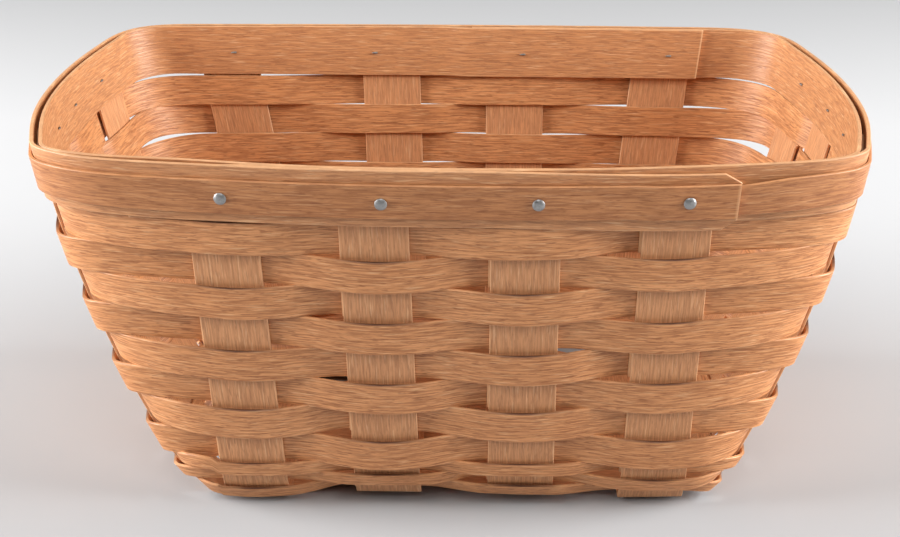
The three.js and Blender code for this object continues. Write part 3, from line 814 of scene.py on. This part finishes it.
mesh.polygons.foreach_set("use_smooth", [True] * len(mesh.polygons))
mesh.set_sharp_from_angle(angle=HEAD_CREASE)
for holder in (head, point):
    bpy.data.objects.remove(holder)
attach(tacks, "root")
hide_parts(*[f"tack_{k + 1:02d}" for k in range(COUNT)])


# Floor: a plain pale sheet of studio paper that runs away behind the basket. Its colour goes from darker in
# front to paler behind, which is painted light: a falloff of brightness put into the paper's colour.
floor_mesh = bpy.data.meshes.new("floor")
floor_mesh.from_pydata([(-4, -3, 0), (4, -3, 0), (4, 6, 0), (-4, 6, 0)], [], [(0, 1, 2, 3)])
paper = bpy.data.materials.new("paper")
paper.use_nodes = True
tree = paper.node_tree
sheet = tree.nodes["Principled BSDF"]
sheet.inputs["Roughness"].default_value = 0.9
sheet.inputs["Specular IOR Level"].default_value = 0.1
where = add(tree, "ShaderNodeTexCoord").outputs["Object"]
depth = add(tree, "ShaderNodeSeparateXYZ", [(0, where)]).outputs["Y"]
# Painted light: the paper's colour brightens further back.
painted_light_fade = add(tree, "ShaderNodeMapRange", [("Value", depth), ("From Min", -0.06),
                                        ("From Max", 0.42)]).outputs[0]
shade = add(tree, "ShaderNodeMix", [(0, painted_light_fade)], data_type="RGBA")
shade.inputs[6].default_value = (0.40, 0.404, 0.412, 1)
shade.inputs[7].default_value = (0.635, 0.636, 0.642, 1)
tree.links.new(shade.outputs[2], sheet.inputs["Base Color"])
floor_mesh.materials.append(paper)
floor = bpy.data.objects.new("floor", floor_mesh)
scene.collection.objects.link(floor)


# Light: two broad soft boxes at the sides, a weaker one in front, and an even room.
def soft_box(name, place, target, size, power):
    lamp = bpy.data.lights.new(name, "AREA")
    lamp.shape = "SQUARE"
    lamp.size = size
    lamp.energy = power
    box = bpy.data.objects.new(name, lamp)
    box.location = place
    box.rotation_euler = (Vector(target) - Vector(place)).to_track_quat("-Z", "Y").to_euler()
    scene.collection.objects.link(box)


soft_box("left_box", (-1.15, -0.1, 0.5), (0, 0, 0.08), 0.8, 34)
soft_box("right_box", (1.15, -0.1, 0.5), (0, 0, 0.08), 0.8, 34)
soft_box("front_box", (0, -1.2, 1.3), (0, 0, 0.06), 0.8, 8)
room = bpy.data.worlds.new("room")
room.use_nodes = True
room.node_tree.nodes["Background"].inputs["Color"].default_value = (1, 0.99, 0.98, 1)
room.node_tree.nodes["Background"].inputs["Strength"].default_value = 0.05
scene.world = room
scene.view_settings.view_transform = "Standard"

# Camera: a long lens a little above the rim, in front of the basket.
ELEVATION, YAW, ROLL = math.radians(21.83), math.radians(-0.38), math.radians(0.29)
flat = math.cos(ELEVATION)
forward = Vector((math.sin(YAW) * flat, math.cos(YAW) * flat, -math.sin(ELEVATION)))
right = Vector((math.cos(YAW), -math.sin(YAW), 0))
upward = right.cross(forward)
right, upward = (right * math.cos(ROLL) + upward * math.sin(ROLL),
                 upward * math.cos(ROLL) - right * math.sin(ROLL))
VIEW_MIDDLE = Vector((-0.00007, 0.00182, 0.07088))
VIEW_DISTANCE = 0.82733
lens = bpy.data.cameras.new("camera")
lens.lens = 80
lens.sensor_width = 36
camera = bpy.data.objects.new("camera", lens)
camera.matrix_world = Matrix((right, upward, -forward)).transposed().to_4x4()
camera.location = VIEW_MIDDLE - forward * VIEW_DISTANCE
scene.collection.objects.link(camera)
scene.camera = camera
